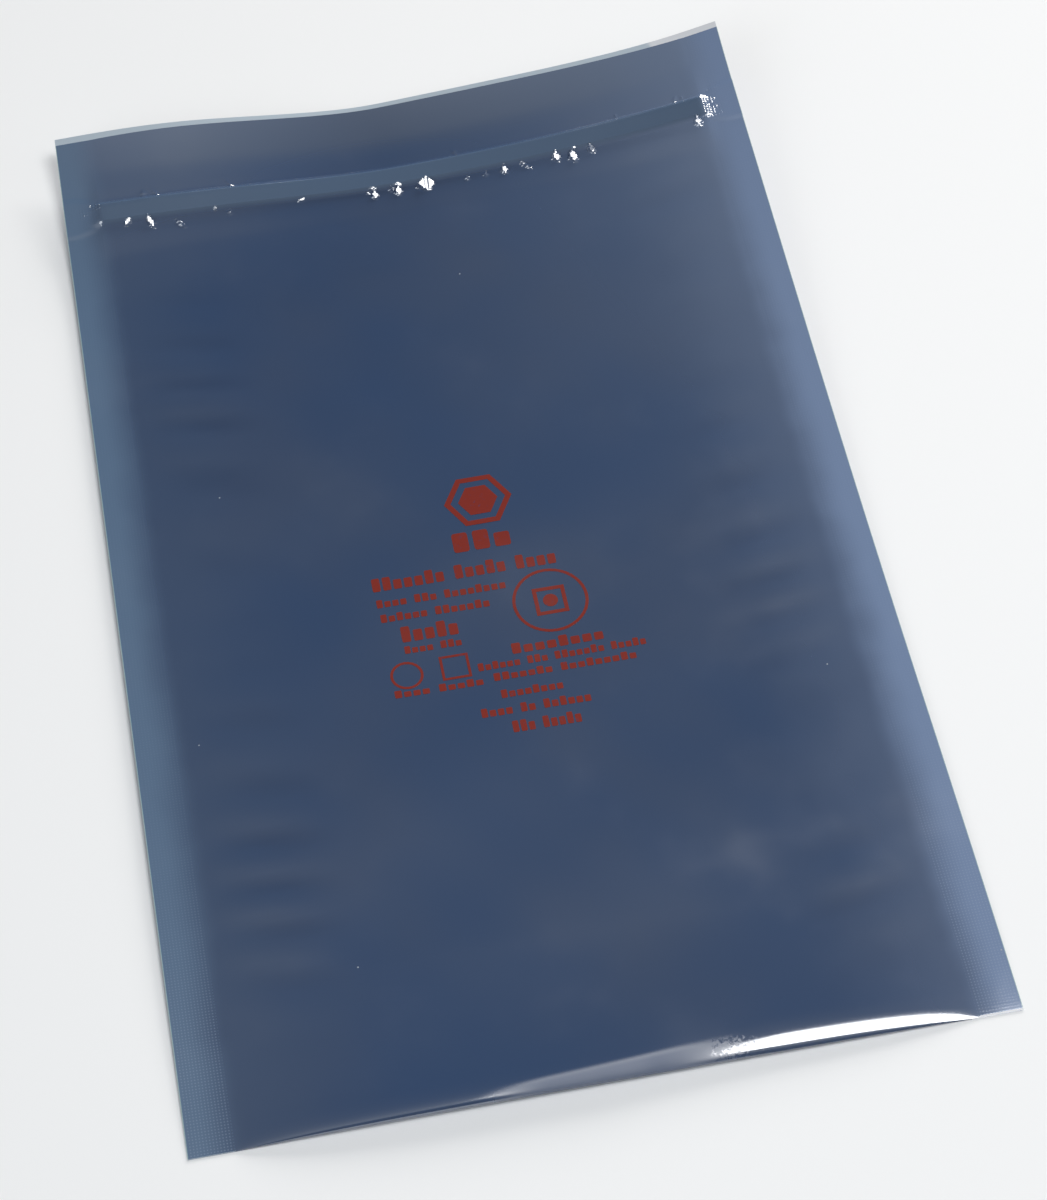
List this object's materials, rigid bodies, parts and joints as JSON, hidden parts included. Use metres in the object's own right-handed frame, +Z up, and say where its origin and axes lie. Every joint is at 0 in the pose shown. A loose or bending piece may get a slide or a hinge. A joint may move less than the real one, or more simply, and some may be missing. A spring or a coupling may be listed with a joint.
{
  "type": "anti static shielding bag",
  "caption": "Flat rectangular bag of blue-grey metallised film, folded at the bottom, heat sealed down both sides, with a press-to-close zip under its open lips.",
  "frame": {"origin": "on the table under the middle of the bag as it lies, at the bottom centre of its box", "axes": "+X across the bag, +Y along it from the fold to the mouth, +Z up out of the printed front"},
  "size_m": [0.1714, 0.2792, 0.0156],
  "materials": {
    "metallised_film": "glossy see-through dark metallised film, fine embossing on the side seals",
    "zip_plastic": "milky clear moulded strip"
  },
  "bodies": {
    "root": {"bag_film": "metallised_film", "zip_groove_strip": "zip_plastic", "zip_rib_strip": "zip_plastic"}
  },
  "joints": []
}
